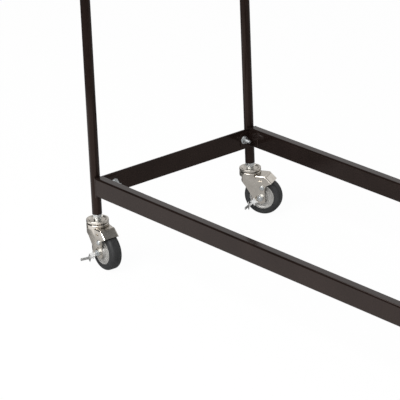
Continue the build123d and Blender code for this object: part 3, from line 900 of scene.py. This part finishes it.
rubber = finish_material(
    "moulded_grey_rubber",
    RUBBER_DARK,
    RUBBER_LIGHT,
    scales=(38.0, 900.0, 120.0),
    roughness=(0.52, 0.68),
    bump=0.00006,
    scratched=0.1,
    shader={"IOR": 1.5},
)
for corner, place in caster_places.items():
    tyre_low, tyre_high = own_box(f"{corner}_tyre", place)
    hub_low, hub_high = own_box(f"{corner}_wheel_hub", place)
    middle = (tyre_low + tyre_high) / 2
    half = (tyre_high.y - tyre_low.y) / 2
    outer = (tyre_high.z - tyre_low.z) / 2
    inner = (hub_high.z - hub_low.z) / 2
    tyre = turned(
        [
            (inner, -half + TYRE_LIP_DROP),
            (inner + TYRE_LIP, -half + TYRE_LIP_DROP),
            (inner + TYRE_LIP, -half),
            (outer, -half),
            (outer, half),
            (inner + TYRE_LIP, half),
            (inner + TYRE_LIP, half - TYRE_LIP_DROP),
            (inner, half - TYRE_LIP_DROP),
        ],
        steps=WHEEL_STEPS,
    )
    soften(
        tyre,
        TREAD_ROUND,
        segments=TREAD_SEGMENTS,
        chosen=lambda edge: all(vertex.co.xy.length > outer - SAME_LEVEL for vertex in edge.verts),
    )
    flash = ring(outer - FLASH_HALF, outer + FLASH_HEIGHT, -FLASH_HALF, FLASH_HALF)
    at_wheel = place @ pointing(middle, (0, -1, 0))
    make_piece(
        f"{corner}_rubber_tyre",
        gather([(tyre, at_wheel), (flash, at_wheel)]),
        f"{corner}_wheel",
        rubber,
        "tyre_rubber",
        f"{corner}_tyre",
    )

# ---------------------------------------------------------------- hubs
# Two dished steel discs, rolled at the rim to grip the tyre, are riveted together round a
# bearing boss. They are dull plated, with rings left by the press.
HUB_DARK = (0.37, 0.363, 0.345, 1)
HUB_LIGHT = (0.5, 0.49, 0.47, 1)
HUB_RIM = 0.0034
HUB_WEB_INSET = 0.0014
HUB_WEB_SLOPE = 0.003
HUB_RING_RADIUS = 0.0185
HUB_RING_HALF = 0.0016
HUB_RING_RISE = 0.0009
HUB_BOSS_RADIUS = 0.011
HUB_BORE = 0.006
HUB_RIVETS = 6
HUB_RIVET_CIRCLE = 0.0232
HUB_RIVET_RADIUS = 0.0019
HUB_RIVET_RISE = 0.0011
HUB_RIVET_BANDS = 8
HUB_EDGE = 0.0005
HUB_SHARP_ANGLE = radians(25)

hub_steel = finish_material(
    "dull_hub_plate",
    HUB_DARK,
    HUB_LIGHT,
    scales=(70.0, 1000.0, 300.0),
    roughness=(0.36, 0.48),
    bump=0.000008,
    scratched=0.15,
    shader={"Metallic": 0.6},
)
for corner, place in caster_places.items():
    hub_low, hub_high = own_box(f"{corner}_wheel_hub", place)
    tyre_low, tyre_high = own_box(f"{corner}_tyre", place)
    middle = (hub_low + hub_high) / 2
    boss_half = (hub_high.y - hub_low.y) / 2
    rim_half = (tyre_high.y - tyre_low.y) / 2 - TYRE_LIP_DROP
    web_half = rim_half - HUB_WEB_INSET
    radius = (hub_high.z - hub_low.z) / 2
    groove = radius - HUB_RIM
    one_side = [
        (HUB_BORE, boss_half),
        (HUB_BOSS_RADIUS, boss_half),
        (HUB_BOSS_RADIUS + HUB_WEB_SLOPE, web_half),
        (HUB_RING_RADIUS - HUB_RING_HALF, web_half),
        (HUB_RING_RADIUS - HUB_RING_HALF / 2, web_half + HUB_RING_RISE),
        (HUB_RING_RADIUS + HUB_RING_HALF / 2, web_half + HUB_RING_RISE),
        (HUB_RING_RADIUS + HUB_RING_HALF, web_half),
        (groove - HUB_WEB_SLOPE, web_half),
        (groove, rim_half),
        (radius, rim_half),
    ]
    other_side = [(distance, -offset) for distance, offset in reversed(one_side)]
    hub = turned(one_side + other_side, steps=WHEEL_STEPS)
    soften(hub, HUB_EDGE, sharpest=HUB_SHARP_ANGLE)
    at_wheel = place @ pointing(middle, (0, -1, 0))
    parts = [(hub, at_wheel)]
    for number in range(HUB_RIVETS):
        angle = 2 * pi * number / HUB_RIVETS
        for face in (-1, 1):
            rivet = bmesh.new()
            bmesh.ops.create_uvsphere(
                rivet,
                u_segments=2 * HUB_RIVET_BANDS,
                v_segments=HUB_RIVET_BANDS,
                radius=HUB_RIVET_RADIUS,
            )
            bmesh.ops.scale(rivet, vec=(1, 1, HUB_RIVET_RISE / HUB_RIVET_RADIUS), verts=rivet.verts)
            across = HUB_RIVET_CIRCLE * sin(angle)
            along = -HUB_RIVET_CIRCLE * cos(angle)
            spot = Matrix.Translation((across, along, face * web_half))
            parts.append((rivet, at_wheel @ spot))
    make_piece(
        f"{corner}_pressed_hub",
        gather(parts),
        f"{corner}_wheel",
        hub_steel,
        "hub_metal",
        f"{corner}_wheel_hub",
    )

# ---------------------------------------------------------------- brake levers
# The hood over the tyre, its arm and its finger are one pressing of 2.5 mm steel, plated like
# the fork. It rocks on a domed zinc plated rivet through the leg.
LEVER_EDGE = 0.0006

for corner in CORNERS:
    lever = loose_copy(f"{corner}_brake_lever")
    soften(lever, LEVER_EDGE)
    make_piece(
        f"{corner}_pressed_lever",
        lever,
        f"{corner}_brake",
        plated_steel,
        "caster_chrome",
        f"{corner}_brake_lever",
    )
    dress(f"{corner}_brake_rivet", zinc)

# ---------------------------------------------------------------- brake wings
# Each finger ends in a wing for toe or thumb: a star plate on a short boss, and a pad, a second
# star with a tail, bent out from it. It is stamped from 2.5 mm steel and plated white, and the
# pad's colour is darkened grey with painted shade.
WING_EDGE = 0.0006
PAD_DEPTH = 0.0033
WHITE_PLATE_DARK = (0.57, 0.57, 0.56, 1)
WHITE_PLATE_LIGHT = (0.67, 0.67, 0.66, 1)
PAD_SHADE_COLOUR = (0.29, 0.29, 0.285, 1)

white_plate = finish_material(
    "white_zinc_plate",
    WHITE_PLATE_DARK,
    WHITE_PLATE_LIGHT,
    scales=(90.0, 1000.0, 260.0),
    roughness=(0.2, 0.3),
    bump=0.000004,
    scratched=0.15,
    shader={"Metallic": 0.1},
)
tree = white_plate.node_tree
surface = tree.nodes["Principled BSDF"]
unshaded = surface.inputs["Base Color"].links[0].from_node
# the pad's darker grey, mixed in through a mesh attribute, is painted shade
painted_shade = add_node(tree, "ShaderNodeAttribute", attribute_name="painted_shade")
shade_mix = add_node(tree, "ShaderNodeMix", {"B": PAD_SHADE_COLOUR}, data_type="RGBA")
link(
    tree,
    (unshaded, "Result", shade_mix, "A"),
    (painted_shade, "Fac", shade_mix, "Factor"),
    (shade_mix, "Result", surface, "Base Color"),
)
for corner, place in caster_places.items():
    wing = loose_copy(f"{corner}_brake_wing")
    soften(wing, WING_EDGE)
    # the pad lies across the trail at the wing's front, and only its points get the painted shade
    painted_shade_layer = wing.verts.layers.float.new("painted_shade")
    to_own = place.inverted()
    reaches = {vertex: (to_own @ vertex.co).x for vertex in wing.verts}
    pad_back = min(reaches.values()) + PAD_DEPTH
    for vertex, reach in reaches.items():
        vertex[painted_shade_layer] = 1.0 if reach < pad_back else 0.0
    make_piece(
        f"{corner}_thumb_wing",
        wing,
        f"{corner}_brake",
        white_plate,
        "caster_chrome",
        f"{corner}_brake_wing",
    )

# ---------------------------------------------------------------- sizes
# The box round the visual model, without the floor.
low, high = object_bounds()
